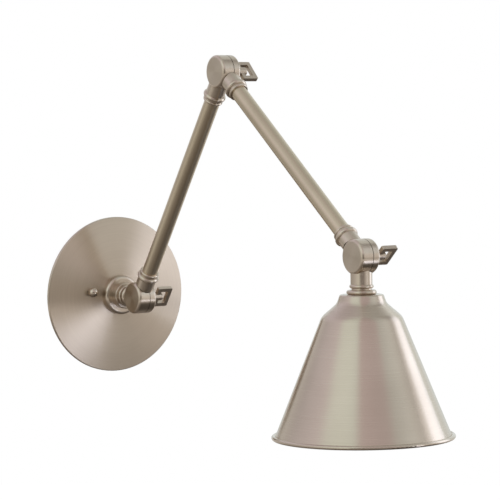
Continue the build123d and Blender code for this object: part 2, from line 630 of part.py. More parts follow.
# --- Shade and lampholder, made along +Z from the last pivot ---
def shade():
    """Spun cone with a flared cap, a nipple hole and a rolled rim."""
    hole = NIPPLE_RADIUS + RUNNING
    chain = [(hole, SHADE_TOP), (SHADE_CAP_RADIUS, SHADE_TOP)]
    chain += [(r, SHADE_TOP + depth) for r, depth in (SHADE_CAP_FOOT, SHADE_SHOULDER, SHADE_RIM_CONE)]
    inner = offset_chain(chain, SHADE_SHEET)
    radii = (SHADE_CAP_EDGE, SHADE_FLARE_RADIUS, SHADE_SHOULDER_RADIUS)
    turns = (-1, 1, -1)
    outside = FilletPolyline(*chain, radius=radii)
    inside = FilletPolyline(*inner, radius=[r + t * SHADE_SHEET for r, t in zip(radii, turns)])
    ends = [Line(chain[0], inner[0]), Line(chain[-1], inner[-1])]
    (edge_r, edge_z), (lip_r, lip_z) = chain[-1], inner[-1]
    reach = SHADE_ROLL_RADIUS / SHADE_SHEET
    roll_centre = (lip_r + reach * (edge_r - lip_r), lip_z + reach * (edge_z - lip_z))
    roll = revolve(Plane.XZ * Pos(*roll_centre) * Circle(SHADE_ROLL_RADIUS), axis=Axis.Z)
    return turned([outside, inside, *ends]) + roll


def check_ring():
    """Rounded ring between the last stem and the shade."""
    half = CHECK_RING_LENGTH / 2
    bore = NIPPLE_RADIUS + FIT
    flat = CHECK_RING_RADIUS - half
    return turned([
        Polyline((flat, SHADE_STEM_LENGTH), (bore, SHADE_STEM_LENGTH), (bore, SHADE_TOP),
                 (flat, SHADE_TOP)),
        ThreePointArc((flat, SHADE_TOP), (CHECK_RING_RADIUS, SHADE_TOP - half),
                      (flat, SHADE_STEM_LENGTH)),
    ])


def socket_nipple():
    """Hollow threaded tube that joins the stem, the shade and the lampholder."""
    start = SHADE_STEM_LENGTH - NIPPLE_ENGAGEMENT
    return ring(NIPPLE_RADIUS, NIPPLE_BORE_RADIUS, start, HOLDER_CAP_TOP + HOLDER_CAP_WALL + NIPPLE_END - start)


def shade_lock_nut():
    """Nut that clamps the shade against its check ring."""
    return hex_nut(LOCK_NUT_FLATS, NIPPLE_RADIUS + FIT, LOCK_NUT_TOP, LOCK_NUT_HEIGHT)


def lampholder_cap():
    """Metal cap of the lampholder, screwed on the nipple."""
    edge = 0.5 * HOLDER_CAP_HEIGHT
    outer = fillet(rod(HOLDER_CAP_RADIUS, HOLDER_CAP_TOP, HOLDER_CAP_HEIGHT)
                   .edges().filter_by(GeomType.CIRCLE).sort_by(Axis.Z)[0], edge)
    room = fillet(rod(HOLDER_CAP_RADIUS - HOLDER_CAP_WALL, HOLDER_CAP_TOP + HOLDER_CAP_WALL,
                      HOLDER_CAP_HEIGHT)
                  .edges().filter_by(GeomType.CIRCLE).sort_by(Axis.Z)[0], edge - 0.5 * HOLDER_CAP_WALL)
    return outer - room - rod(NIPPLE_RADIUS + FIT, HOLDER_CAP_TOP - 1, 2 * HOLDER_CAP_WALL + 1)


def lampholder_body():
    """Moulded barrel with a floor, open at its mouth for the bulb's cap."""
    barrel = rod(HOLDER_RADIUS, HOLDER_TOP, HOLDER_HEIGHT)
    rims = barrel.edges().filter_by(GeomType.CIRCLE)
    barrel = fillet(rims, min(HOLDER_EDGE_RADIUS, 0.6 * (HOLDER_RADIUS - SHELL_BORE_RADIUS - SHELL_WALL)))
    barrel -= rod(SHELL_BORE_RADIUS + SHELL_WALL + FIT, CAVITY_START, HOLDER_HEIGHT)
    barrel -= rod(WIRE_BORE_RADIUS, HOLDER_TOP - 1, 0.6 * HOLDER_FLOOR + 1)
    for side in (-1, 1):
        barrel -= terminal_place(side) * rod(TERMINAL_SHANK_RADIUS + FIT, -TERMINAL_SHANK_LENGTH,
                                             TERMINAL_SHANK_LENGTH + 1)
        barrel -= terminal_place(side) * rod(TERMINAL_HEAD_RADIUS + RUNNING, -0.6, 5)
    return barrel


def terminal_place(side):
    """Where a terminal screw sits on the side of the lampholder, pointing outwards."""
    return Pos(side * HOLDER_RADIUS, 0, HOLDER_TOP + TERMINAL_DEPTH) * Rot(0, side * 90, 0)


def terminal_screws():
    """The two wire screws on the sides of the lampholder."""
    screw = rod(TERMINAL_SHANK_RADIUS, -TERMINAL_SHANK_LENGTH + 0.2, TERMINAL_SHANK_LENGTH)
    screw += rod(TERMINAL_HEAD_RADIUS, -0.6, TERMINAL_HEAD_HEIGHT)
    screw -= Pos(0, 0, TERMINAL_HEAD_HEIGHT - 1.2) * Box(
        2.2 * TERMINAL_HEAD_RADIUS, 0.8, 2, align=(Align.CENTER, Align.CENTER, Align.MIN))
    return Part() + [terminal_place(side) * screw for side in (-1, 1)]


def lampholder_shell():
    """Screw shell that takes the bulb, drawn at its thread's inner radius."""
    return ring(SHELL_BORE_RADIUS + SHELL_WALL, SHELL_BORE_RADIUS, SHELL_START, SHELL_LENGTH)


def lampholder_contact():
    """Bent centre contact on the floor of the lampholder."""
    flat = CONTACT_LENGTH / 2
    bar = [(-flat, 0), (flat * 0.2, 0), (flat * 0.6, CONTACT_RISE), (flat, CONTACT_RISE)]
    back = offset_chain(bar, CONTACT_SHEET)
    face = make_face(Polyline(*bar, *reversed(back), close=True))
    strip = extrude(Plane.XZ * face, CONTACT_WIDTH / 2, both=True)
    return Pos(0, 0, CAVITY_START) * strip


# --- The whole lamp, node by node ---
def wall_parts():
    """Everything that is fixed to the wall."""
    return {
        "back_plate": back_plate(),
        "crossbar": crossbar(),
        "canopy_studs": canopy_studs(),
        "stud_nuts": stud_nuts(),
        "ball_nuts": ball_nuts(),
        "ground_screw": ground_screw(),
        "wall_nipple": wall_nipple(),
        "nipple_nut": nipple_nut(),
        "nipple_washer": nipple_washer(),
        "nipple_bushing": nipple_bushing(),
        "wall_collar": wall_collar(),
        "swivel_housing": swivel_housing(),
        "swivel_stop_pin": swivel_stop_pin(),
    }


def joint_parts(name, pivot, cup_rise, key_turn):
    """The washer and the key of one knuckle."""
    return {
        f"{name}_friction_washer": pointed(friction_washer(), pivot, cup_rise),
        f"{name}_key": Pos(*pivot) * window_key(key_turn),
        f"{name}_key_washer": Pos(*pivot) * key_washer(),
    }


def arm_parts(name, start, end, rise, reach, start_half, end_half, start_name, end_name):
    """One arm: a knuckle half and a ring at each end, and the tube between them."""
    return {
        start_name: pointed(start_half, start, rise),
        f"{name}_start_ring": pointed(end_ring(), start, rise),
        f"{name}_tube": pointed(arm_tube(reach), start, rise),
        f"{name}_end_ring": pointed(end_ring(), end, rise + 180),
        end_name: pointed(end_half, end, rise + 180),
    }


def lamp():
    """Every piece of the lamp, by the name of its node."""
    wall_rise, shade_rise = 180, -90 + SHADE_LEAN
    parts = wall_parts()
    parts["wall_knuckle"] = pointed(knuckle_cup(wall_stem()), WALL_PIVOT, wall_rise)
    parts["swivel_retainer"] = swivel_retainer()
    parts["swivel_washer"] = swivel_washer()
    parts |= joint_parts("wall", WALL_PIVOT, wall_rise, WALL_KEY_TURN)
    parts |= arm_parts("lower_arm", WALL_PIVOT, ELBOW_PIVOT, LOWER_ARM_RISE, LOWER_ARM_REACH,
                       knuckle_cap(arm_stem()), knuckle_cup(arm_stem()),
                       "lower_arm_foot_knuckle", "lower_arm_head_knuckle")
    parts |= joint_parts("elbow", ELBOW_PIVOT, LOWER_ARM_RISE + 180, ELBOW_KEY_TURN)
    parts |= arm_parts("upper_arm", ELBOW_PIVOT, SHADE_PIVOT, -UPPER_ARM_DROP, UPPER_ARM_REACH,
                       knuckle_cap(arm_stem()), knuckle_cap(arm_stem()),
                       "upper_arm_tail_knuckle", "upper_arm_head_knuckle")
    parts |= joint_parts("shade", SHADE_PIVOT, shade_rise, SHADE_KEY_TURN)
    head = {
        "shade_knuckle": knuckle_cup(shade_stem()),
        "check_ring": check_ring(),
        "shade": shade(),
        "socket_nipple": socket_nipple(),
        "shade_lock_nut": shade_lock_nut(),
        "lampholder_cap": lampholder_cap(),
        "lampholder_body": lampholder_body(),
        "lampholder_shell": lampholder_shell(),
        "lampholder_contact": lampholder_contact(),
        "terminal_screws": terminal_screws(),
    }
    for name, shape in head.items():
        parts[name] = pointed(shape, SHADE_PIVOT, shade_rise)
    return parts


os.makedirs("parts", exist_ok=True)
for node, shape in lamp().items():
    shape.label = node
    export_step(shape, f"parts/{node}.step")
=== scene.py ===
"""Looks of a wall lamp in satin nickel: a spun wall plate, two jointed tube arms and a cone shade.

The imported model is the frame. Every shape that it holds keeps its place; this file gives each
piece its finish, rounds the cast keys, cuts the threads that show, and sets up a plain studio.
Lengths are metres, +Z is up, the wall is the plane Y = 0 and the lamp stands out towards -Y.
"""

import json
import logging
import math
from dataclasses import dataclass
from enum import Enum
from typing import Any, Optional, Sequence

import bmesh
import bpy
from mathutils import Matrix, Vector


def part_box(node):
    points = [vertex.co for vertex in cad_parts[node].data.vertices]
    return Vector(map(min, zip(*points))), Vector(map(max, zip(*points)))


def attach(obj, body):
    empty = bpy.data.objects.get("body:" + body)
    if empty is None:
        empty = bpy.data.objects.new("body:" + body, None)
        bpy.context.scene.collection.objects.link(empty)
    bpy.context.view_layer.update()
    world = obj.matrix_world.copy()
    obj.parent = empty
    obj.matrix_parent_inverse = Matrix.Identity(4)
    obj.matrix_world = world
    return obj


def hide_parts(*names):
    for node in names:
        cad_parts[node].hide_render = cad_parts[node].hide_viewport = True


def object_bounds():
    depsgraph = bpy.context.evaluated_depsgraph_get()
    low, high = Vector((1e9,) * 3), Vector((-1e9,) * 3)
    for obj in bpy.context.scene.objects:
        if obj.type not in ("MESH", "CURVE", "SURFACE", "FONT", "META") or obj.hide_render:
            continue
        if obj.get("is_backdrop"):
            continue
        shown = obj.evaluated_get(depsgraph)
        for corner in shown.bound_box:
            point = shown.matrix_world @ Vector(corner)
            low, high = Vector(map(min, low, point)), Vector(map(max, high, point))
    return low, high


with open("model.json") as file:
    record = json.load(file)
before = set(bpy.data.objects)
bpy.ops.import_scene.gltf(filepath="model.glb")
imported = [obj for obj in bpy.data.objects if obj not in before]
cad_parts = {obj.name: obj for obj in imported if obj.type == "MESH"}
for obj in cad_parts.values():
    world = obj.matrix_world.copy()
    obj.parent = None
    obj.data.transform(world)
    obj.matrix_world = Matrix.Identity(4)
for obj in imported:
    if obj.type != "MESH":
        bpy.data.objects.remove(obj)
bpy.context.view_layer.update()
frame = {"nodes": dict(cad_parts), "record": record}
MM = 0.001
# Blender's noise seldom leaves this range, so a value that follows it runs from end to end of it.
NOISE_LOW, NOISE_HIGH = 0.3, 0.7
OUT_OF_WALL = Vector((0, -1, 0))
# Edges of a thread that are sharper than this stay sharp in the shading.
SHARP_ANGLE = math.radians(50)
log = logging.getLogger("wall_lamp")


# --- Colour, nodes and small helpers ---
def linear(hex_colour: str) -> tuple[float, float, float, float]:
    """Turn an sRGB hex colour into linear light.

    Args:
        hex_colour: Six hex digits after a hash.

    Returns:
        Linear red, green, blue and an alpha of 1.
    """
    parts = [int(hex_colour.lstrip("#")[i:i + 2], 16) / 255 for i in (0, 2, 4)]
    red, green, blue = [c / 12.92 if c <= 0.04045 else ((c + 0.055) / 1.055) ** 2.4 for c in parts]
    return red, green, blue, 1.0


def add_node(tree: bpy.types.NodeTree, kind: str, settings: Optional[dict[Any, Any]] = None,
             links: Optional[dict[Any, bpy.types.NodeSocket]] = None) -> bpy.types.Node:
    """Add a node with its settings and links.

    Args:
        tree: The node tree that gets the node.
        kind: The node's type name.
        settings: Values by property name, or by the name or number of an input socket.
        links: Output sockets by the name or number of the input socket that they feed.

    Returns:
        The new node.
    """
    node = tree.nodes.new(kind)
    for key, value in (settings or {}).items():
        if isinstance(key, str) and hasattr(node, key):
            setattr(node, key, value)
        else:
            node.inputs[key].default_value = value
    for key, source in (links or {}).items():
        tree.links.new(source, node.inputs[key])
    return node


def grade(node: bpy.types.Node, stops: Sequence[tuple[float, str]]) -> None:
    """Set the stops of a colour ramp.

    Args:
        node: The ramp's node.
        stops: Places from 0 to 1, each with its sRGB hex colour.
    """
    elements = node.color_ramp.elements
    while len(elements) < len(stops):
        elements.new(0.5)
    for element, (place, colour) in zip(elements, stops):
        element.position = place
        element.color = linear(colour)


def start_material(name: str) -> tuple[bpy.types.Material, bpy.types.NodeTree, bpy.types.Node]:
    """Make an empty material with a surface shader.

    Args:
        name: The material's name.

    Returns:
        The material, its node tree and its surface shader.
    """
    material = bpy.data.materials.new(name)
    material.use_nodes = True
    tree = material.node_tree
    tree.nodes.clear()
    shader = add_node(tree, "ShaderNodeBsdfPrincipled")
    add_node(tree, "ShaderNodeOutputMaterial", links={"Surface": shader.outputs["BSDF"]})
    return material, tree, shader


def give_grain(tree: bpy.types.NodeTree, shader: bpy.types.Node, clouds: bpy.types.NodeSocket,
               marks: bpy.types.NodeSocket, tones: Sequence[tuple[float, str]], roughness: float,
               wander: float, relief: float, strength: float) -> None:
    """Lead noise into a shader's colour, roughness and relief.

    Args:
        tree: The material's node tree.
        shader: Its surface shader.
        clouds: Noise that the colour follows.
        marks: Noise that the roughness and the relief follow.
        tones: Stops of the colour over the clouds.
        roughness: Mean roughness.
        wander: How far the roughness wanders from its mean.
        relief: Height of the relief, in metres.
        strength: Share of the relief that shows.
    """
    tone = add_node(tree, "ShaderNodeValToRGB", links={0: clouds})
    grade(tone, tones)
    rough = add_node(tree, "ShaderNodeMapRange",
                     {"From Min": NOISE_LOW, "From Max": NOISE_HIGH, "To Min": roughness - wander,
                      "To Max": roughness + wander}, {"Value": marks})
    bump = add_node(tree, "ShaderNodeBump", {"Strength": strength, "Distance": relief},
                    {"Height": marks})
    tree.links.new(tone.outputs["Color"], shader.inputs["Base Color"])
    tree.links.new(rough.outputs["Result"], shader.inputs["Roughness"])
    tree.links.new(bump.outputs["Normal"], shader.inputs["Normal"])


def dress(node: str, material: bpy.types.Material) -> bpy.types.Object:
    """Give a carried-over solid its finish.

    Args:
        node: The solid's node.
        material: The finish.

    Returns:
        The solid's object.
    """
    piece = frame["nodes"][node]
    for place in piece.material_slots:
        place.material = material
    if not piece.material_slots:
        piece.data.materials.append(material)
    log.info("%s: %s", node, material.name)
    return piece


def joint_place(name: str) -> Vector:
    """Place of a joint at rest, in metres."""
    for joint in frame["record"]["behaviour"]["joints"]:
        if joint["name"] == name:
            return Vector(joint["pos_m"])
    raise KeyError(name)


# --- What a piece was turned or brushed about ---
@dataclass(frozen=True)
class Spindle:
    """The axis that a piece turned on when it was spun, turned or brushed.

    Attributes:
        point: A point on the axis, in metres.
        direction: Unit vector along the axis.
        radius: Radius that the length of the brush marks is worked out for, in metres.
    """

    point: Vector
    direction: Vector
    radius: float

    def across(self) -> tuple[Vector, Vector]:
        """Two unit vectors square to the axis and to each other."""
        near_x = 0.9
        other = Vector((1, 0, 0)) if abs(self.direction.x) < near_x else Vector((0, 0, 1))
        first = self.direction.cross(other).normalized()
        return first, self.direction.cross(first).normalized()


@dataclass(frozen=True)
class BrushField:
    """Nodes that follow the rings that an abrasive leaves round a spindle.

    Attributes:
        spindle: The axis of the rings.
        streak_mm: Width of one brush mark.
        length_mm: Length of one brush mark, round the axis.
    """

    spindle: Spindle
    streak_mm: float
    length_mm: float

    def build(self, tree: bpy.types.NodeTree) -> dict[str, bpy.types.NodeSocket]:
        """Add the nodes.

        Args:
            tree: The material's node tree.

        Returns:
            Sockets: tangent (world space), marks (a noise from 0 to 1), distance from the axis.
        """
        place = add_node(tree, "ShaderNodeTexCoord").outputs["Object"]
        offset = add_node(tree, "ShaderNodeVectorMath",
                          {"operation": "SUBTRACT", 1: self.spindle.point}, {0: place}).outputs[0]
        along = add_node(tree, "ShaderNodeVectorMath",
                         {"operation": "DOT_PRODUCT", 1: self.spindle.direction},
                         {0: offset}).outputs["Value"]
        on_axis = add_node(tree, "ShaderNodeVectorMath",
                           {"operation": "SCALE", 0: self.spindle.direction},
                           {"Scale": along}).outputs[0]
        out = add_node(tree, "ShaderNodeVectorMath", {"operation": "SUBTRACT"},
                       {0: offset, 1: on_axis}).outputs[0]
        distance = add_node(tree, "ShaderNodeVectorMath", {"operation": "LENGTH"},
                            {0: out}).outputs["Value"]
        unit = add_node(tree, "ShaderNodeVectorMath", {"operation": "NORMALIZE"}, {0: out}).outputs[0]
        turn = add_node(tree, "ShaderNodeVectorMath",
                        {"operation": "CROSS_PRODUCT", 0: self.spindle.direction}, {1: unit}).outputs[0]
        tangent = add_node(tree, "ShaderNodeVectorTransform",
                           {"vector_type": "VECTOR", "convert_from": "OBJECT", "convert_to": "WORLD"},
                           {0: turn}).outputs[0]
        first, second = self.spindle.across()
        # On a face square to the axis the marks lie a little wider apart than along it.
        marks_along = 1 / (self.streak_mm * MM)
        marks_outward = 0.7 * marks_along
        marks_round = self.spindle.radius / (self.length_mm * MM)
        parts = []
        for source, direction, scale in ((along, None, marks_along), (distance, None, marks_outward),
                                         (unit, first, marks_round), (unit, second, marks_round)):
            if direction is not None:
                source = add_node(tree, "ShaderNodeVectorMath",
                                  {"operation": "DOT_PRODUCT", 1: direction},
                                  {0: source}).outputs["Value"]
            parts.append(add_node(tree, "ShaderNodeMath", {"operation": "MULTIPLY", 1: scale},
                                  {0: source}).outputs[0])
        spot = add_node(tree, "ShaderNodeCombineXYZ", links={0: parts[0], 1: parts[1], 2: parts[2]})
        noise = add_node(tree, "ShaderNodeTexNoise",
                         {"noise_dimensions": "4D", "Scale": 1.0, "Detail": 3.0, "Roughness": 0.65},
                         {"Vector": spot.outputs[0], "W": parts[3]})
        return {"tangent": tangent, "marks": noise.outputs[0], "distance": distance}


class Polish(Enum):
    """How a nickelled piece was finished: its roughness, and how far its marks stretch a highlight."""

    # Brushed as it turns: light is drawn out from the middle in soft sectors, as on a record.
    SPUN_PLATE = (0.31, 0.96)
    # Brushed with a finer pad: soft bands run down the cone, and the room shows in them, blurred.
    SPUN_CONE = (0.27, 0.86)
    # Brushed round after drawing: one soft bright line along the tube.
    DRAWN = (0.32, 0.80)
    # Brushed on the lathe: clear bands along a drum, and a narrow fan of light on its face.
    TURNED = (0.28, 0.84)
    # Buffed on a wheel: small, nearly sharp highlights.
    BUFFED = (0.20, 0.0)
    # Tumbled in stone: an even, dull sheen.
    TUMBLED = (0.40, 0.0)

    @property
    def roughness(self) -> float:
        """Mean roughness."""
        return self.value[0]

    @property
    def stretch(self) -> float:
        """How far the marks stretch a highlight, from 0 to 1."""
        return self.value[1]


# --- Finishes ---
@dataclass(frozen=True)
class SatinNickel:
    """Nickel plate on brass or steel, brushed with a fine abrasive and lacquered.

    It is a warm grey metal, and its highlights are drawn out square to the brush marks.

    Attributes:
        name: Name of the finish.
        polish: How the piece was finished.
        streak_mm: Width of a brush mark. Real ones are about 0.1 mm, too fine for this view, so they
            are drawn as coarse as they need to show.
        length_mm: Length of a brush mark.
        marks_depth_mm: Depth of a brush mark.
        wander: How far the roughness wanders from its mean with the brush marks.
        cloud_mm: Size of the clouds of warmer and cooler grey.
        cloud_share: Their share in the colour, the rest of which follows the brush marks.
        light: Colour of the nickel on the crests of the brush marks.
        deep: Colour in the marks.
    """

    name: str
    polish: Polish = Polish.TURNED
    streak_mm: float = 0.45
    length_mm: float = 26.0
    marks_depth_mm: float = 0.0003
    wander: float = 0.005
    cloud_mm: float = 60.0
    cloud_share: float = 0.6
    light: str = "#D6C8B7"
    deep: str = "#C1B3A2"

    def turned(self, spindle: Spindle, drum: Optional[Spindle] = None,
               drum_radius: float = 0.0) -> bpy.types.Material:
        """Make the finish for a piece brushed round its own axis.

        Args:
            spindle: The axis of the brush marks.
            drum: A second axis, for the drum of a knuckle.
            drum_radius: Distance from the second axis within which its marks take over.

        Returns:
            The material.
        """
        material, tree, shader = start_material(self.name)
        rings = BrushField(spindle, self.streak_mm, self.length_mm).build(tree)
        tangent, marks = rings["tangent"], rings["marks"]
        if drum is not None:
            other = BrushField(drum, self.streak_mm, self.length_mm).build(tree)
            inside = add_node(tree, "ShaderNodeMath", {"operation": "LESS_THAN", 1: drum_radius},
                              {0: other["distance"]}).outputs[0]
            tangent = add_node(tree, "ShaderNodeMix", {"data_type": "VECTOR"},
                               {"Factor": inside, 4: tangent, 5: other["tangent"]}).outputs[1]
            marks = add_node(tree, "ShaderNodeMix", {"data_type": "FLOAT"},
                             {0: inside, 2: marks, 3: other["marks"]}).outputs[0]
        self._finish(tree, shader, marks)
        tree.links.new(tangent, shader.inputs["Tangent"])
        shader.inputs["Anisotropic"].default_value = self.polish.stretch
        # The tangent runs along the marks, and a quarter turn stretches the light across them.
        shader.inputs["Anisotropic Rotation"].default_value = 0.25
        return material

    def grainless(self) -> bpy.types.Material:
        """Make the finish for a small buffed or tumbled piece, whose marks run no one way."""
        material, tree, shader = start_material(self.name)
        place = add_node(tree, "ShaderNodeTexCoord").outputs["Object"]
        marks = add_node(tree, "ShaderNodeTexNoise",
                         {"Scale": 1 / (self.streak_mm * MM), "Detail": 4.0, "Roughness": 0.6},
                         {"Vector": place}).outputs[0]
        self._finish(tree, shader, marks)
        return material

    def _finish(self, tree: bpy.types.NodeTree, shader: bpy.types.Node,
                marks: bpy.types.NodeSocket) -> None:
        """Lead the marks into colour, roughness and relief.

        Args:
            tree: The material's node tree.
            shader: Its surface shader.
            marks: Noise from 0 to 1 that follows the abrasive.
        """
        place = add_node(tree, "ShaderNodeTexCoord").outputs["Object"]
        # The plating's thickness wanders, which warms and cools the grey a little.
        cloud = add_node(tree, "ShaderNodeTexNoise", {"Scale": 1 / (self.cloud_mm * MM), "Detail": 2.0},
                         {"Vector": place}).outputs[0]
        mixed = add_node(tree, "ShaderNodeMix", {"data_type": "FLOAT", 0: self.cloud_share},
                         {2: marks, 3: cloud}).outputs[0]
        give_grain(tree, shader, mixed, marks, [(0.20, self.deep), (0.80, self.light)],
                   self.polish.roughness, self.wander, self.marks_depth_mm * MM, strength=0.5)
        shader.inputs["Metallic"].default_value = 1.0


@dataclass(frozen=True)
class PlainMetal:
    """A metal left as it was turned, pressed or plated, with faint clouds and scratches.

    Attributes:
        name: Name of the finish.
        light: Lighter colour of the metal.
        deep: Darker colour of the metal.
        roughness: Mean roughness.
        grain_mm: Size of the clouds.
        scratch_share: Size of the scratches as a share of the clouds.
        scratch_mm: Depth of the scratches.
        wander: How far the roughness wanders from its mean with the scratches.
    """

    name: str
    light: str
    deep: str
    roughness: float
    grain_mm: float
    scratch_share: float = 0.35
    scratch_mm: float = 0.02
    wander: float = 0.07

    def material(self) -> bpy.types.Material:
        """Make the finish."""
        material, tree, shader = start_material(self.name)
        place = add_node(tree, "ShaderNodeTexCoord").outputs["Object"]
        grain = self.grain_mm * MM
        cloud = add_node(tree, "ShaderNodeTexNoise",
                         {"Scale": 1 / grain, "Detail": 5.0, "Roughness": 0.6},
                         {"Vector": place}).outputs[0]
        scratch = add_node(tree, "ShaderNodeTexNoise",
                           {"Scale": 1 / (self.scratch_share * grain), "Detail": 2.0, "Distortion": 0.4},
                           {"Vector": place}).outputs[0]
        give_grain(tree, shader, cloud, scratch, [(0.32, self.deep), (0.68, self.light)],
                   self.roughness, self.wander, self.scratch_mm * MM, strength=0.4)
        shader.inputs["Metallic"].default_value = 1.0
        return material


@dataclass(frozen=True)
class Moulding:
    """A moulded, pressed or fired piece that is no metal.

    Attributes:
        name: Name of the finish.
        light: Lighter colour.
        deep: Darker colour.
        roughness: Mean roughness.
        ior: Index of refraction.
        grain_mm: Size of the surface's clouds or fibres.
        relief_mm: Height of its surface texture.
        coat: Weight of a glaze over it.
        coat_roughness: Roughness of that glaze.
        wander: How far the roughness wanders from its mean.
    """

    name: str
    light: str
    deep: str
    roughness: float
    ior: float
    grain_mm: float
    relief_mm: float
    coat: float = 0.0
    coat_roughness: float = 0.06
    wander: float = 0.04

    def material(self) -> bpy.types.Material:
        """Make the finish."""
        material, tree, shader = start_material(self.name)
        place = add_node(tree, "ShaderNodeTexCoord").outputs["Object"]
        cloud = add_node(tree, "ShaderNodeTexNoise",
                         {"Scale": 1 / (self.grain_mm * MM), "Detail": 6.0, "Roughness": 0.6},
                         {"Vector": place}).outputs[0]
        give_grain(tree, shader, cloud, cloud, [(0.35, self.deep), (0.65, self.light)],
                   self.roughness, self.wander, self.relief_mm * MM, strength=0.6)
        shader.inputs["IOR"].default_value = self.ior
        shader.inputs["Coat Weight"].default_value = self.coat
        shader.inputs["Coat Roughness"].default_value = self.coat_roughness
        return material


# Bright zinc, drop-plated on steel: bluish, with soft clouds where the bath ran off.
ZINC_PLATE = PlainMetal("bright_zinc_plated_steel", "#C9CBCB", "#A9ACAD", roughness=0.34,
                        grain_mm=6.0)
# Free-cutting brass, left as turned: yellow, a little dull from handling.
TURNED_BRASS = PlainMetal("turned_brass", "#D8B56A", "#B08E48", roughness=0.28, grain_mm=4.0)
# Green dyed zinc, the mark of an earth screw.
GREEN_ZINC = PlainMetal("green_dyed_zinc", "#3F8F4C", "#2C6B38", roughness=0.36, grain_mm=3.0)
# Drawn aluminium, satin: soft and pale.
DRAWN_ALUMINIUM = PlainMetal("drawn_aluminium", "#CFCDC8", "#B5B2AC", roughness=0.38, grain_mm=5.0)
# Fired porcelain under a clear glaze: a warm white with a sharp highlight.
PORCELAIN = Moulding("glazed_porcelain", "#F1EEE6", "#E4DFD4", roughness=0.22, ior=1.50,
                     grain_mm=9.0, relief_mm=0.03, coat=0.8)
# Nylon bush, moulded: milky white and dull.
NYLON = Moulding("moulded_nylon", "#E9E6DD", "#D9D5CA", roughness=0.45, ior=1.53, grain_mm=2.0,
                 relief_mm=0.02)
# Vulcanised fibre, pressed: nearly black, with a paper-like nap.
FIBRE = Moulding("vulcanised_fibre", "#35312D", "#221F1C", roughness=0.65, ior=1.50, grain_mm=0.8,
                 relief_mm=0.05)


# --- Threads ---
@dataclass(frozen=True)
class Thread:
    """A screw thread, drawn as a relief that winds round an axis.

    Attributes:
        crest: Outer radius, in metres.
        depth: Height of the thread, in metres.
        pitch: Rise in one turn, in metres.
        round_form: True for the rolled form of a lampholder, false for a sharp cut thread.
        end_rings: Rings at each end in which the thread runs out.
        end_share: Share of the thread's depth that is left at the very end.
    """

    crest: float
    depth: float
    pitch: float
    round_form: bool = False
    end_rings: int = 4
    end_share: float = 0.4

    def radius(self, along: float, turn: float) -> float:
        """Radius of the relief at a place along the axis and a turn round it, in radians."""
        phase = (along / self.pitch - turn / math.tau) % 1.0
        if self.round_form:
            wave = 0.5 + 0.5 * math.cos(math.tau * phase)
        else:
            wave = abs(2 * phase - 1)
        return self.crest - self.depth * (1 - wave)

    def sleeve(self, name: str, spindle: Spindle, span: tuple[float, float], wall: float,
               steps: tuple[int, int], finish: bpy.types.Material) -> bpy.types.Object:
        """Build a threaded rod or tube.

        Args:
            name: Name of the piece.
            spindle: Its axis.
            span: Where it starts and ends along the axis.
            wall: Wall thickness under the thread's root, or 0 for a solid rod.
            steps: Points round the axis, and rings in one pitch.
            finish: Its finish.

        Returns:
            The piece.
        """
        first, second = spindle.across()
        (start, end), (round_steps, turn_steps) = span, steps
        rings = max(2, int((end - start) / self.pitch * turn_steps))
        mesh = bmesh.new()
        layers = []
        for bore in ((False, True) if wall > 0 else (False,)):
            for i in range(rings + 1):
                along = start + (end - start) * i / rings
                full = min(1.0, i / self.end_rings, (rings - i) / self.end_rings)
                share = self.end_share + (1 - self.end_share) * full
                ring = []
                for j in range(round_steps):
                    turn = math.tau * j / round_steps
                    radius = self.crest - (self.crest - self.radius(along, turn)) * share
                    if bore:
                        radius = (radius if self.round_form else self.crest - self.depth) - wall
                    spot = (spindle.point + spindle.direction * along
                            + (first * math.cos(turn) + second * math.sin(turn)) * radius)
                    ring.append(mesh.verts.new(spot))
                layers.append(ring)
        count = rings + 1
        for shell in range(len(layers) // count):
            for i in range(rings):
                low, high = layers[shell * count + i], layers[shell * count + i + 1]
                for j in range(round_steps):
                    k = (j + 1) % round_steps
                    quad = (low[j], low[k], high[k], high[j])
                    mesh.faces.new(quad if shell == 0 else tuple(reversed(quad)))
        for place in (0, rings):
            outer = layers[place]
            if wall <= 0:
                mesh.faces.new(outer)
                continue
            inner = layers[count + place]
            for j in range(round_steps):
                k = (j + 1) % round_steps
                mesh.faces.new((outer[j], outer[k], inner[k], inner[j]))
        bmesh.ops.recalc_face_normals(mesh, faces=mesh.faces)
        data = bpy.data.meshes.new(name)
        mesh.to_mesh(data)
        mesh.free()
        data.shade_smooth()
        data.set_sharp_from_angle(angle=SHARP_ANGLE)
        data.materials.append(finish)
        piece = bpy.data.objects.new(name, data)
        bpy.context.scene.collection.objects.link(piece)
        log.info("%s: threaded", name)
        return piece


# Both hollow nipples have this thread, wall, and count of points round and rings in a pitch.
NIPPLE_THREAD = Thread(crest=5.0 * MM, depth=0.5 * MM, pitch=1.0 * MM)
NIPPLE_WALL = 0.7 * MM
NIPPLE_STEPS = (48, 6)


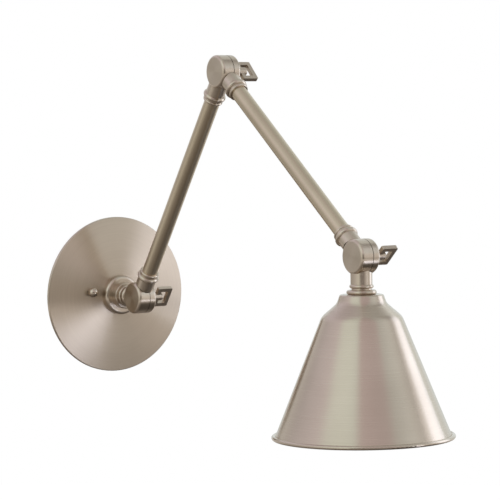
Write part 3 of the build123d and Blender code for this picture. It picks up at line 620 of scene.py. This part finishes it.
# --- Sub-assemblies ---
@dataclass
class WallPlate:
    """The spun plate with its two ball nuts, and the collar and housing of the swivel.

    Attributes:
        plate_radius: Radius that the plate's brush marks are worked out for.
        boss_radius: The same for the collar and the housing.
    """

    plate_radius: float = 60 * MM
    boss_radius: float = 16 * MM

    def spindle(self, radius: float) -> Spindle:
        """The wall axis, for marks on one radius."""
        return Spindle(Vector((0, 0, 0)), OUT_OF_WALL, radius)

    def build(self) -> None:
        """Dress the plate, the ball nuts, the collar and the housing."""
        plate = SatinNickel("satin_nickel_spun_plate", Polish.SPUN_PLATE, streak_mm=0.9, length_mm=45.0,
                            marks_depth_mm=0.0015)
        dress("back_plate", plate.turned(self.spindle(self.plate_radius)))
        boss = SatinNickel("satin_nickel_turned_boss")
        finish = boss.turned(self.spindle(self.boss_radius))
        dress("wall_collar", finish)
        dress("swivel_housing", finish)
        ball = SatinNickel("satin_nickel_ball_nut", Polish.BUFFED)
        dress("ball_nuts", ball.grainless())


@dataclass
class WallFixing:
    """What is behind the plate: crossbar, studs with their nuts, earth screw and bushed nipple.

    Attributes:
        stud_thread: Thread of the studs.
        stud_spread: Distance of each stud from the middle of the plate.
        stud_turn: Turn of the studs' line, left end up.
        stud_steps: Points round a stud, and rings in one pitch of its thread.
    """

    stud_thread: Thread = Thread(crest=2.08 * MM, depth=0.42 * MM, pitch=0.794 * MM)
    stud_spread: float = 34.925 * MM
    stud_turn: float = math.radians(7.0)
    stud_steps: tuple[int, int] = (28, 6)

    def build(self) -> None:
        """Dress the pieces and cut the threads that show from behind."""
        zinc, brass = ZINC_PLATE.material(), TURNED_BRASS.material()
        for node in ("crossbar", "stud_nuts", "nipple_washer", "swivel_stop_pin", "swivel_washer"):
            dress(node, zinc)
        for node in ("nipple_nut", "swivel_retainer"):
            dress(node, brass)
        dress("ground_screw", GREEN_ZINC.material())
        dress("nipple_bushing", NYLON.material())
        self._studs(zinc)
        self._nipple(brass)

    def _studs(self, finish: bpy.types.Material) -> None:
        """Replace the two plain studs with threaded ones.

        Args:
            finish: The studs' finish.
        """
        low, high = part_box("canopy_studs")
        line = Vector((math.cos(self.stud_turn), 0, -math.sin(self.stud_turn)))
        for name, side in (("left_stud", -1), ("right_stud", 1)):
            spindle = Spindle(line * side * self.stud_spread, OUT_OF_WALL, self.stud_thread.crest)
            stud = self.stud_thread.sleeve(name, spindle, (-high.y, -low.y), 0.0, self.stud_steps, finish)
            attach(stud, "wall_base")
            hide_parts("canopy_studs")

    def _nipple(self, finish: bpy.types.Material) -> None:
        """Replace the plain nipple with a threaded one.

        Args:
            finish: The nipple's finish.
        """
        low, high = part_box("wall_nipple")
        spindle = Spindle(Vector((0, 0, 0)), OUT_OF_WALL, NIPPLE_THREAD.crest)
        nipple = NIPPLE_THREAD.sleeve("threaded_wall_nipple", spindle, (-high.y, -low.y), NIPPLE_WALL,
                                      NIPPLE_STEPS, finish)
        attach(nipple, "wall_base")
        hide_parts("wall_nipple")


@dataclass
class Knuckle:
    """One knuckle: two halves with their stems, a friction washer, a key and its washer.

    Attributes:
        pivot: Place of the pivot.
        halves: The two halves' nodes, each with the direction of its stem.
        washer: Node of the friction washer.
        key: Node of the key.
        key_washer: Node of the key's washer.
        drum_radius: Radius of the drum, which is brushed about the pivot.
        drum_marks: Radius that the drum's brush marks are worked out for.
        stem_marks: The same for the stems.
        key_rounding: Width of the rounding that tumbling leaves on the key's edges.
        key_steps: Steps in that rounding.
    """

    pivot: Vector
    halves: dict[str, Vector]
    washer: str
    key: str
    key_washer: str
    drum_radius: float = 16.6 * MM
    drum_marks: float = 13 * MM
    stem_marks: float = 9 * MM
    key_rounding: float = 0.9 * MM
    key_steps: int = 4

    def build(self) -> None:
        """Dress the halves, the washers and the key."""
        drum = Spindle(self.pivot, Vector((1, 0, 0)), self.drum_marks)
        for node, direction in self.halves.items():
            finish = SatinNickel(f"satin_nickel_{node}", length_mm=14.0)
            stem = Spindle(self.pivot, direction.normalized(), self.stem_marks)
            dress(node, finish.turned(stem, drum, self.drum_radius))
        dress(self.washer, FIBRE.material())
        ring = SatinNickel(f"satin_nickel_{self.key_washer}")
        dress(self.key_washer, ring.turned(drum))
        self._key()

    def _key(self) -> None:
        """Dress the cast key and round its edges, as tumbling leaves them."""
        cast = SatinNickel(f"satin_nickel_{self.key}", Polish.TUMBLED, streak_mm=1.2)
        key = dress(self.key, cast.grainless())
        bevel = key.modifiers.new("rounded_edges", "BEVEL")
        bevel.width = self.key_rounding
        bevel.segments = self.key_steps
        bevel.limit_method = "ANGLE"
        bevel.angle_limit = math.radians(40)
        bevel.harden_normals = False


@dataclass
class Arm:
    """A tube with the ring at each of its ends.

    Attributes:
        name: First part of the nodes' names.
        start: Place of the pivot at its start.
        end: Place of the pivot at its end.
        radius: Radius that the tube's brush marks are worked out for.
    """

    name: str
    start: Vector
    end: Vector
    radius: float = 8 * MM

    def build(self) -> None:
        """Dress the tube and its rings."""
        spindle = Spindle(self.start, (self.end - self.start).normalized(), self.radius)
        # The drawn tubes are a touch warmer than the turned pieces.
        tube = SatinNickel(f"satin_nickel_{self.name}_tube", Polish.DRAWN, light="#D8C9B1",
                           deep="#C3B49C")
        dress(f"{self.name}_tube", tube.turned(spindle))
        ring = SatinNickel(f"satin_nickel_{self.name}_rings")
        finish = ring.turned(spindle)
        dress(f"{self.name}_start_ring", finish)
        dress(f"{self.name}_end_ring", finish)


@dataclass
class ShadeHead:
    """The spun cone shade with its check ring, and the lampholder inside it.

    Attributes:
        pivot: Place of the pivot above the shade.
        direction: The shade's axis, pointing out of its mouth.
        cone_radius: Radius that the cone's brush marks are worked out for.
        shell_thread: Rolled thread of the lampholder's shell.
        shell_wall: Thickness of the shell's sheet.
        shell_steps: Points round the shell, and rings in one pitch of its thread.
    """

    pivot: Vector
    direction: Vector
    cone_radius: float = 60 * MM
    ring_radius: float = 13 * MM
    shell_thread: Thread = Thread(crest=13.68 * MM, depth=0.75 * MM, pitch=3.63 * MM, round_form=True)
    shell_wall: float = 0.3 * MM
    shell_steps: tuple[int, int] = (72, 10)

    def spindle(self, radius: float) -> Spindle:
        """The shade's axis, for marks or a thread on one radius."""
        return Spindle(self.pivot, self.direction, radius)

    def build(self) -> None:
        """Dress the shade and the lampholder, and cut the threads."""
        brass = TURNED_BRASS.material()
        cone = SatinNickel("satin_nickel_spun_cone", Polish.SPUN_CONE, streak_mm=0.6, length_mm=60.0)
        dress("shade", cone.turned(self.spindle(self.cone_radius)))
        ring = SatinNickel("satin_nickel_check_ring")
        dress("check_ring", ring.turned(self.spindle(self.ring_radius)))
        for node in ("shade_lock_nut", "lampholder_contact", "terminal_screws"):
            dress(node, brass)
        dress("lampholder_cap", DRAWN_ALUMINIUM.material())
        dress("lampholder_body", PORCELAIN.material())
        self._shell(brass)
        self._nipple(brass)

    def _span(self, node: str) -> tuple[float, float]:
        """Where a round node starts and ends along the shade's axis.

        Args:
            node: The node.

        Returns:
            Both places, from the pivot, in metres.
        """
        corners = [Vector(c) for c in frame["nodes"][node].bound_box]
        places = [(c - self.pivot).dot(self.direction) for c in corners]
        # The axis leans, so the corners of the node's box reach past its ends by this much.
        spill = abs(self.direction.y) * (max(c.y for c in corners) - min(c.y for c in corners))
        return min(places) + spill, max(places) - spill

    def _shell(self, finish: bpy.types.Material) -> None:
        """Replace the plain screw shell with one that has its rolled thread.

        Args:
            finish: The shell's finish.
        """
        thread = self.shell_thread
        shell = thread.sleeve("rolled_screw_shell", self.spindle(thread.crest),
                              self._span("lampholder_shell"), self.shell_wall, self.shell_steps, finish)
        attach(shell, "shade_head")
        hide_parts("lampholder_shell")

    def _nipple(self, finish: bpy.types.Material) -> None:
        """Replace the plain nipple with a threaded one.

        Args:
            finish: The nipple's finish.
        """
        nipple = NIPPLE_THREAD.sleeve("threaded_socket_nipple", self.spindle(NIPPLE_THREAD.crest),
                                      self._span("socket_nipple"), NIPPLE_WALL, NIPPLE_STEPS, finish)
        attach(nipple, "shade_head")
        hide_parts("socket_nipple")


# --- Studio ---
def direction_from(azimuth: float, elevation: float) -> Vector:
    """Unit vector from the object towards a place round it.

    Args:
        azimuth: Direction round the object, in degrees; 0 is in front of the wall, 90 towards +X.
        elevation: Direction above the horizon, in degrees.

    Returns:
        The vector.
    """
    turn, rise = math.radians(azimuth), math.radians(elevation)
    return Vector((math.sin(turn) * math.cos(rise), -math.cos(turn) * math.cos(rise), math.sin(rise)))


@dataclass(frozen=True)
class SoftBox:
    """A soft studio lamp.

    Attributes:
        name: Name of the lamp.
        azimuth: Direction round the object, in degrees, as in direction_from.
        elevation: Direction above the horizon, in degrees.
        distance: Distance from the middle of the object.
        size: Width and height of its face.
        power: Power in watts.
        colour: Colour of its light.
        in_metal: False for a lamp that only lights what is no mirror.
    """

    name: str
    azimuth: float
    elevation: float
    distance: float
    size: tuple[float, float]
    power: float
    colour: str = "#FFFFFF"
    in_metal: bool = True

    def build(self, middle: Vector) -> None:
        """Hang the lamp and point it at the object.

        Args:
            middle: The middle of the object.
        """
        back = direction_from(self.azimuth, self.elevation)
        data = bpy.data.lights.new(self.name, "AREA")
        data.shape = "RECTANGLE"
        data.size, data.size_y = self.size
        data.energy = self.power
        data.color = linear(self.colour)[:3]
        lamp = bpy.data.objects.new(self.name, data)
        lamp.location = middle + back * self.distance
        lamp.rotation_mode = "QUATERNION"
        lamp.rotation_quaternion = (-back).to_track_quat("-Z", "Y")
        lamp.visible_camera = False
        lamp.visible_glossy = self.in_metal
        bpy.context.scene.collection.objects.link(lamp)
        log.info("%s: lamp", self.name)


@dataclass(frozen=True)
class Floor:
    """A plain round floor, nearly white to the camera, that keeps the object's shadow.

    Attributes:
        height: Height of the floor. No pose of the lamp reaches it.
        radius: Radius of the floor.
        paint: Colour of its paint.
        white: Strength of the white that the camera sees over the paint.
        white_share: Share of that white. The rest is the paint, with its shadow.
        tones: Its colour in the metal at shares of the radius, with painted shade: dim under the lamp,
            and
        as light as the room at its edge.
        painted_shade_place: Middle of a shadow painted on the floor as the metal sees it, right of the
            lamp.
        painted_shade_stretch: Size of the painted shadow along Y as a share of its size along X.
        painted_shade_reach: Distances from its middle, along Y, at which it starts to fade and has ended.
        painted_shade_level: Share of the floor's light that is left in the painted shadow.
    """

    height: float = -1.9
    radius: float = 10.0
    paint: str = "#E6E5E3"
    white: float = 1.12
    white_share: float = 0.85
    # Painted shade: in the metal the floor is darker near its middle, under the lamp.
    tones: tuple[tuple[float, str], ...] = (
        (0.0, "#756E68"), (0.26, "#8A847E"), (0.48, "#BDB8B3"), (0.7, "#E6E3DF"))
    # A shadow painted on the floor as the metal sees it.
    painted_shade_place: tuple[float, float, float] = (1.72, -1.08, 0.0)
    painted_shade_stretch: float = 0.7
    painted_shade_reach: tuple[float, float] = (0.96, 2.2)
    painted_shade_level: float = 0.4

    def build(self) -> None:
        """Lay the floor."""
        mesh = bmesh.new()
        bmesh.ops.create_circle(mesh, cap_ends=True, segments=96, radius=self.radius)
        data = bpy.data.meshes.new("studio_floor")
        mesh.to_mesh(data)
        mesh.free()
        data.materials.append(self._material())
        floor = bpy.data.objects.new("studio_floor", data)
        floor.location = (0, 0, self.height)
        bpy.context.scene.collection.objects.link(floor)
        floor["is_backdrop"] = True
        log.info("studio_floor: laid")

    def _material(self) -> bpy.types.Material:
        """Make the paint: nearly white to the camera, and in the metal an emission with painted shade.

        Returns:
            The material.
        """
        material = bpy.data.materials.new("studio_floor_paint")
        material.use_nodes = True
        tree = material.node_tree
        tree.nodes.clear()
        path = add_node(tree, "ShaderNodeLightPath")
        paint = add_node(tree, "ShaderNodeBsdfDiffuse", {"Color": linear(self.paint)})
        white = add_node(tree, "ShaderNodeEmission",
                         {"Color": linear("#FFFFFF"), "Strength": self.white})
        seen = add_node(tree, "ShaderNodeMath", {"operation": "MULTIPLY", 1: self.white_share},
                        {0: path.outputs["Is Camera Ray"]})
        lit = add_node(tree, "ShaderNodeMixShader",
                       links={0: seen.outputs[0], 1: paint.outputs[0], 2: white.outputs[0]})
        mirrored = self._mirrored(tree)
        mix = add_node(tree, "ShaderNodeMixShader",
                       links={0: path.outputs["Is Glossy Ray"], 1: lit.outputs[0], 2: mirrored})
        add_node(tree, "ShaderNodeOutputMaterial", links={"Surface": mix.outputs[0]})
        return material

    def _mirrored(self, tree: bpy.types.NodeTree) -> bpy.types.NodeSocket:
        """Add the nodes of the floor as the metal mirrors it: an emission with painted shade, dim under
        the lamp.

        Args:
            tree: The paint's node tree.

        Returns:
            The shader's socket.
        """
        place = add_node(tree, "ShaderNodeTexCoord").outputs["Object"]
        out = add_node(tree, "ShaderNodeVectorMath", {"operation": "LENGTH"},
                       {0: place}).outputs["Value"]
        share = add_node(tree, "ShaderNodeMapRange", {"From Max": self.radius}, {"Value": out})
        # Painted shade: the floor's emission in the metal darkens towards its middle, under the lamp.
        tone = add_node(tree, "ShaderNodeValToRGB", links={0: share.outputs["Result"]})
        grade(tone, self.tones)
        # Painted shadow: right of the lamp, the floor's emission as the metal sees it is dimmed in a soft
        # patch.
        aside = add_node(tree, "ShaderNodeVectorMath", {"operation": "SUBTRACT", 1: self.painted_shade_place},
                         {0: place}).outputs[0]
        drawn = add_node(tree, "ShaderNodeVectorMath",
                         {"operation": "MULTIPLY", 1: (self.painted_shade_stretch, 1.0, 0.0)},
                         {0: aside}).outputs[0]
        apart = add_node(tree, "ShaderNodeVectorMath", {"operation": "LENGTH"},
                         {0: drawn}).outputs["Value"]
        near, far = self.painted_shade_reach
        level = add_node(tree, "ShaderNodeMapRange",
                         {"From Min": near, "From Max": far, "To Min": self.painted_shade_level,
                          "To Max": 1.0, "interpolation_type": "SMOOTHSTEP"}, {"Value": apart})
        return add_node(tree, "ShaderNodeEmission",
                        links={"Color": tone.outputs["Color"],
                               "Strength": level.outputs["Result"]}).outputs[0]


@dataclass(frozen=True)
class Room:
    """The studio round the object: white to the camera, and walls whose light the metal mirrors.

    Attributes:
        low_walls: Light of the room near the horizon at each azimuth, in degrees, as a share of the peak.
        high_walls: The same above the horizon, where the cone shade looks.
        wall_join: Heights, as sines of the elevation, between which the low walls give way to the high.
        levels: Share of the walls' light at each elevation, in degrees.
        peak: Strength of the brightest part of the room.
    """

    low_walls: tuple[tuple[float, str], ...] = (
        (-180, "#D3D3D2"), (-146, "#B8B8B7"), (-100, "#DBDBD9"), (-76, "#EEF0EA"), (-60, "#F0F2EC"),
        (-46, "#6C6864"), (-12, "#6C6864"), (10, "#CFCBC8"), (40, "#EAE7E4"), (62, "#C4C4C6"),
        (74, "#A4A4A6"), (90, "#A4A4A6"), (98, "#E6EEF0"), (146, "#E2EAEC"), (180, "#D3D3D2"))
    high_walls: tuple[tuple[float, str], ...] = (
        (-180, "#D9D5E2"), (-126, "#DBD7E2"), (-108, "#E2DEE8"), (-92, "#F1FDFD"), (-52, "#F1FDFD"),
        (-40, "#DAD0D6"), (4, "#D0C7CD"), (16, "#D3DADD"), (42, "#DDE5E8"), (62, "#CCCED0"),
        (74, "#A4A4A6"), (90, "#A4A4A6"), (98, "#E6EEF0"), (146, "#E2EAEC"), (180, "#D9D5E2"))
    wall_join: tuple[float, float] = (0.14, 0.45)
    levels: tuple[tuple[float, str], ...] = (
        (-90, "#7A7672"), (-20, "#A9A6A1"), (-9, "#D6D3CF"), (-3, "#F4F2EF"), (3, "#FFFFFF"),
        (38, "#FFFFFF"), (56, "#E6E4E1"), (90, "#DEDCD9"))
    peak: float = 1.1

    def build(self) -> None:
        """Set up the world."""
        world = bpy.data.worlds.new("studio_room")
        bpy.context.scene.world = world
        world.use_nodes = True
        tree = world.node_tree
        tree.nodes.clear()
        around = add_node(tree, "ShaderNodeBackground", {"Strength": self.peak},
                          {"Color": self._light(tree)})
        white = add_node(tree, "ShaderNodeBackground", {"Color": linear("#FFFFFF"), "Strength": 1.0})
        path = add_node(tree, "ShaderNodeLightPath")
        mix = add_node(tree, "ShaderNodeMixShader",
                       links={0: path.outputs["Is Camera Ray"], 1: around.outputs[0],
                              2: white.outputs[0]})
        add_node(tree, "ShaderNodeOutputWorld", links={"Surface": mix.outputs[0]})
        log.info("studio_room: set")

    def _light(self, tree: bpy.types.NodeTree) -> bpy.types.NodeSocket:
        """Add the nodes of a light that differs all round and with height.

        Args:
            tree: The world's node tree.

        Returns:
            The light's colour, as a share of the peak.
        """
        direction = add_node(tree, "ShaderNodeTexCoord").outputs["Generated"]
        parts = add_node(tree, "ShaderNodeSeparateXYZ", links={0: direction})
        front = add_node(tree, "ShaderNodeMath", {"operation": "MULTIPLY", 1: -1.0},
                         {0: parts.outputs["Y"]})
        turn = add_node(tree, "ShaderNodeMath", {"operation": "ARCTAN2"},
                        {0: parts.outputs["X"], 1: front.outputs[0]})
        about = add_node(tree, "ShaderNodeMapRange", {"From Min": -math.pi, "From Max": math.pi},
                         {"Value": turn.outputs[0]})
        rings = []
        for stops in (self.low_walls, self.high_walls):
            ring = add_node(tree, "ShaderNodeValToRGB", links={0: about.outputs["Result"]})
            grade(ring, [((azimuth + 180) / 360, colour) for azimuth, colour in stops])
            rings.append(ring.outputs["Color"])
        low, high = self.wall_join
        lift = add_node(tree, "ShaderNodeMapRange",
                        {"From Min": low, "From Max": high, "interpolation_type": "SMOOTHSTEP"},
                        {"Value": parts.outputs["Z"]})
        walls = add_node(tree, "ShaderNodeMix", {"data_type": "RGBA"},
                         {0: lift.outputs["Result"], 6: rings[0], 7: rings[1]})
        level = add_node(tree, "ShaderNodeMapRange", {"From Min": -1.0, "From Max": 1.0},
                         {"Value": parts.outputs["Z"]})
        height = add_node(tree, "ShaderNodeValToRGB", links={0: level.outputs["Result"]})
        grade(height, [((math.sin(math.radians(rise)) + 1) / 2, colour)
                       for rise, colour in self.levels])
        room = add_node(tree, "ShaderNodeMix", {"data_type": "RGBA", "blend_type": "MULTIPLY", 0: 1.0},
                        {6: walls.outputs[2], 7: height.outputs["Color"]})
        return room.outputs[2]


@dataclass(frozen=True)
class Camera:
    """The camera, where the photograph was taken from.

    Attributes:
        azimuth: Its direction round the object, in degrees.
        elevation: Its direction above the horizon, in degrees.
        film_mm: Width of the film.
        focal_mm: Focal length.
        shift_right: How far right of the origin it looks, in metres.
        shift_up: How far above the origin it looks.
        distance: Distance from the origin.
        clip_end: Distance past which it sees nothing.
    """

    azimuth: float = -33.79
    elevation: float = 4.22
    film_mm: float = 36.0
    focal_mm: float = 177.56
    shift_right: float = 144.73 * MM
    shift_up: float = 46.91 * MM
    distance: float = 2640.6 * MM
    clip_end: float = 50.0

    def build(self) -> None:
        """Set up the camera."""
        turn, rise = math.radians(self.azimuth), math.radians(self.elevation)
        right = Vector((math.cos(turn), math.sin(turn), 0))
        up = Vector((-math.sin(rise) * math.sin(turn), math.sin(rise) * math.cos(turn), math.cos(rise)))
        back = direction_from(self.azimuth, self.elevation)
        data = bpy.data.cameras.new("photograph_camera")
        data.sensor_width = self.film_mm
        data.lens = self.focal_mm
        data.clip_end = self.clip_end
        camera = bpy.data.objects.new("photograph_camera", data)
        camera.location = right * self.shift_right + up * self.shift_up + back * self.distance
        camera.rotation_mode = "QUATERNION"
        camera.rotation_quaternion = (-back).to_track_quat("-Z", "Y")
        bpy.context.scene.collection.objects.link(camera)
        bpy.context.scene.camera = camera
        log.info("photograph_camera: set")


@dataclass(frozen=True)
class Studio:
    """Camera, floor, room and soft lamps.

    Attributes:
        lamps: The soft lamps.
    """

    lamps: tuple[SoftBox, ...] = (
        # Gives the bright streak down the shade.
        SoftBox("right_softbox", azimuth=72, elevation=6.0, distance=1.13, size=(0.54, 1.1), power=2.5,
                colour="#DDE8FF"),
        # A small lit card below, for the undersides and the lower part of the plate.
        SoftBox("low_card", azimuth=25, elevation=-24, distance=1.0, size=(0.26, 0.20), power=0.55,
                colour="#DDE6FF"),
        # A wider and fainter lamp behind the first, which softens the streak.
        SoftBox("right_fill", azimuth=68, elevation=4.0, distance=1.88, size=(1.04, 1.0), power=1.5),
        # Lights from above what is no mirror, and gives the floor its shadow.
        SoftBox("top_softbox", azimuth=10, elevation=72, distance=2.0, size=(1.5, 1.2), power=12,
                in_metal=False),
    )

    def build(self) -> None:
        """Set up everything around the object."""
        Camera().build()
        Floor().build()
        Room().build()
        low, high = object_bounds()
        for lamp in self.lamps:
            lamp.build((low + high) / 2)
        bpy.context.scene.view_settings.view_transform = "Standard"


def main() -> None:
    """Build the lamp's looks and the studio, piece by piece."""
    logging.basicConfig(level=logging.INFO, format="%(name)s %(message)s")
    wall, elbow, head = joint_place("shoulder"), joint_place("elbow"), joint_place("shade_tilt")
    lower, upper = elbow - wall, head - elbow
    down = Vector([m for m in frame["record"]["mounts"] if m["name"] == "lamp_socket"][0]["axis"])
    WallPlate().build()
    WallFixing().build()
    Knuckle(wall, {"wall_knuckle": Vector((0, 1, 0)), "lower_arm_foot_knuckle": lower},
            "wall_friction_washer", "wall_key", "wall_key_washer").build()
    Arm("lower_arm", wall, elbow).build()
    Knuckle(elbow, {"lower_arm_head_knuckle": -lower, "upper_arm_tail_knuckle": upper},
            "elbow_friction_washer", "elbow_key", "elbow_key_washer").build()
    Arm("upper_arm", elbow, head).build()
    Knuckle(head, {"upper_arm_head_knuckle": -upper, "shade_knuckle": down},
            "shade_friction_washer", "shade_key", "shade_key_washer").build()
    ShadeHead(head, down.normalized()).build()
    Studio().build()


if __name__ == "__main__":
    main()
